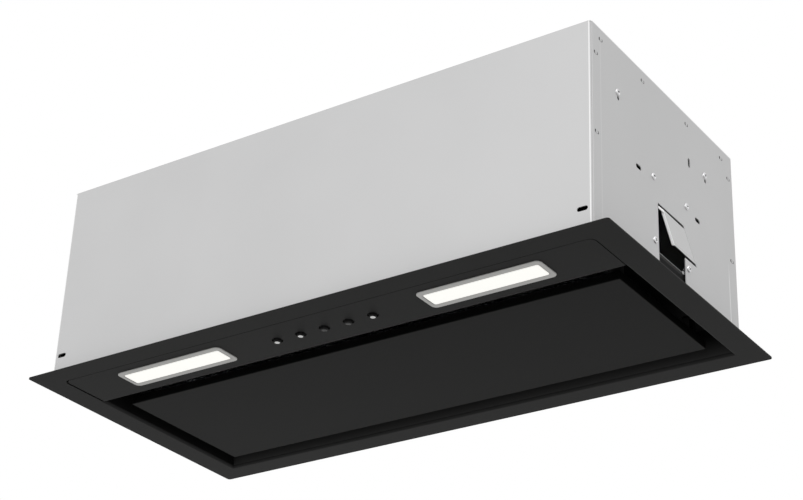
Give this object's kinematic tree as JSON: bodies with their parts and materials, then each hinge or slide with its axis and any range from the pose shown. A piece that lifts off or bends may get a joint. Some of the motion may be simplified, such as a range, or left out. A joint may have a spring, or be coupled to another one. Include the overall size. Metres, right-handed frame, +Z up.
{
  "type": "range hood insert",
  "caption": "Built-in range hood insert: grey sheet casing on a black flange, perimeter suction panel, lamps, push buttons, blower and duct spigot.",
  "frame": {"origin": "middle of the mounting flange's upper face, where it meets the underside of the cabinet", "axes": "+X to the hood's right as its user faces it, -Y to the front, +Z up"},
  "size_m": [0.5962, 0.2894, 0.2321],
  "materials": {
    "casing_sheet": "pale grey coated sheet, satin",
    "black_sheet": "black powder coat, satin",
    "panel_black": "black powder coat, smooth satin",
    "bright_screw": "bright zinc plate",
    "bezel_silver": "silver-grey moulding",
    "lamp_white": "opal diffuser, lit",
    "zinc_sheet": "galvanised steel",
    "filter_metal": "drawn aluminium",
    "tongue_steel": "spring steel, pale grey coat",
    "chrome_button": "polished chrome",
    "black_moulding": "moulded black plastic",
    "grey_moulding": "moulded grey plastic",
    "board": "circuit board",
    "motor_black": "lacquered steel can",
    "capacitor_can": "drawn aluminium can"
  },
  "bodies": {
    "root": {"front_sheet": "casing_sheet", "rear_sheet": "casing_sheet", "left_side_sheet": "casing_sheet", "right_side_sheet": "casing_sheet", "top_plate": "casing_sheet", "casing_rivets": "casing_sheet", "pan_screws": "bright_screw", "flange_frame": "black_sheet", "recess_tray": "black_sheet", "control_strip": "black_sheet", "lamp_bezel_left": "bezel_silver", "lamp_bezel_right": "bezel_silver", "lamp_diffuser_left": "lamp_white", "lamp_diffuser_right": "lamp_white", "led_board_left": "board", "led_board_right": "board", "lamp_housing_left": "zinc_sheet", "lamp_housing_right": "zinc_sheet", "button_guide": "black_moulding", "switch_board": "board", "tact_switches": "grey_moulding", "control_box": "grey_moulding", "control_board": "board", "driver_box": "grey_moulding", "terminal_box": "grey_moulding", "cable_gland": "black_moulding", "scroll_left": "grey_moulding", "scroll_right": "grey_moulding", "motor": "motor_black", "motor_bracket": "zinc_sheet", "capacitor": "capacitor_can", "capacitor_clip": "zinc_sheet", "outlet_collar": "black_moulding", "flap_pin": "bright_screw", "filter_frame_left": "filter_metal", "filter_frame_right": "filter_metal", "filter_mesh_left": "filter_metal", "filter_mesh_right": "filter_metal", "filter_rails": "black_sheet", "hinge_brackets": "black_sheet", "catch_magnets": "black_moulding", "side_bracket_left": "zinc_sheet", "side_bracket_right": "zinc_sheet"},
    "panel": {"panel_face": "panel_black", "panel_backing": "black_sheet", "hinge_pins": "bright_screw", "strike_plates": "bright_screw"},
    "impeller": {"impeller": "zinc_sheet", "motor_shaft": "bright_screw"},
    "flap_front": {"flap_front": "black_moulding"},
    "flap_rear": {"flap_rear": "black_moulding"},
    "latch_left": {"filter_latch_left": "black_moulding"},
    "latch_right": {"filter_latch_right": "black_moulding"},
    "tongue_left": {"side_tongue_left": "tongue_steel"},
    "tongue_right": {"side_tongue_right": "tongue_steel"},
    "button_1": {"button_1": "chrome_button"},
    "button_2": {"button_2": "chrome_button"},
    "button_3": {"button_3": "chrome_button"},
    "button_4": {"button_4": "chrome_button"},
    "button_5": {"button_5": "chrome_button"}
  },
  "joints": [
    {"name": "button_1_press", "type": "slide", "parent": "root", "child": "button_1", "axis": [0, 0, 1], "range_m": [0, 0.0015], "stiffness_N_per_m": 400},
    {"name": "button_2_press", "type": "slide", "parent": "root", "child": "button_2", "axis": [0, 0, 1], "range_m": [0, 0.0015], "stiffness_N_per_m": 400},
    {"name": "button_3_press", "type": "slide", "parent": "root", "child": "button_3", "axis": [0, 0, 1], "range_m": [0, 0.0015], "stiffness_N_per_m": 400},
    {"name": "button_4_press", "type": "slide", "parent": "root", "child": "button_4", "axis": [0, 0, 1], "range_m": [0, 0.0015], "stiffness_N_per_m": 400},
    {"name": "button_5_press", "type": "slide", "parent": "root", "child": "button_5", "axis": [0, 0, 1], "range_m": [0, 0.0015], "stiffness_N_per_m": 400},
    {"name": "panel_hinge", "type": "hinge", "parent": "root", "child": "panel", "pos_m": [0, 0.09515, 0.006], "axis": [1, 0, 0], "range_deg": [0, 90]},
    {"name": "impeller_spin", "type": "hinge", "parent": "root", "child": "impeller", "pos_m": [0, -0.03375, 0.109], "axis": [1, 0, 0], "continuous": true},
    {"name": "flap_front_swing", "type": "hinge", "parent": "root", "child": "flap_front", "pos_m": [0, 0.00924, 0.1986], "axis": [-1, 0, 0], "range_deg": [0, 75]},
    {"name": "flap_rear_swing", "type": "hinge", "parent": "root", "child": "flap_rear", "pos_m": [0, 0.00924, 0.1986], "axis": [1, 0, 0], "range_deg": [0, 75]},
    {"name": "latch_left_slide", "type": "slide", "parent": "root", "child": "latch_left", "axis": [0, 1, 0], "range_m": [0, 0.007], "stiffness_N_per_m": 200},
    {"name": "latch_right_slide", "type": "slide", "parent": "root", "child": "latch_right", "axis": [0, 1, 0], "range_m": [0, 0.007], "stiffness_N_per_m": 200},
    {"name": "tongue_left_flex", "type": "hinge", "parent": "root", "child": "tongue_left", "pos_m": [-0.2787, 0.02288, 0.0718], "axis": [0, 0.6051, -0.7962], "range_deg": [-5, 6], "stiffness_Nm_per_rad": 2},
    {"name": "tongue_right_flex", "type": "hinge", "parent": "root", "child": "tongue_right", "pos_m": [0.2787, 0.02288, 0.0718], "axis": [0, -0.6051, 0.7962], "range_deg": [-5, 6], "stiffness_Nm_per_rad": 2}
  ]
}
